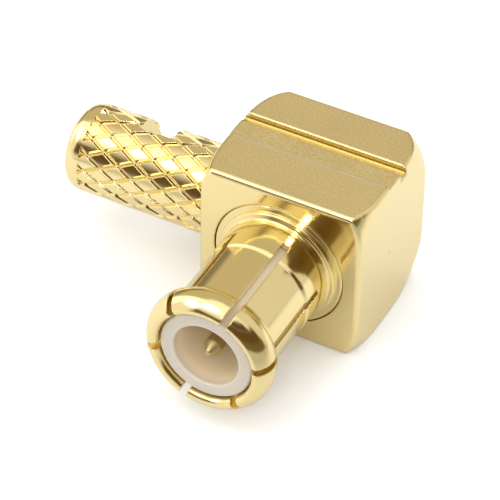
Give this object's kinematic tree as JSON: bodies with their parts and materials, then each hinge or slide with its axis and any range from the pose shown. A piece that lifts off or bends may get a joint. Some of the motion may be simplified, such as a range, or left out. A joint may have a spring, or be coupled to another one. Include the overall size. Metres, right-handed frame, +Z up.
{
  "type": "right-angle mcx cable plug",
  "caption": "Gold-plated right-angle coaxial plug with a slotted snap nose, centre pin and knurled crimp stem.",
  "frame": {"origin": "on the head's bottom flat, straight below the point where the mating axis and the cable axis cross", "axes": "+Z up from the bottom flat; the mating nose points along -Y and the crimp stem along -X, both axes 2.475 mm above the origin"},
  "size_m": [0.0099, 0.0086, 0.0049],
  "materials": {
    "gold_plate": "gold-plated brass, smooth with fine turning and milling marks",
    "insulator": "white fluoroplastic, slightly waxy"
  },
  "bodies": {
    "root": {"body": "gold_plate", "outer_contact": "gold_plate", "front_insulator": "insulator", "rear_insulator": "insulator", "centre_contact": "gold_plate", "rear_cap": "gold_plate"}
  },
  "joints": []
}
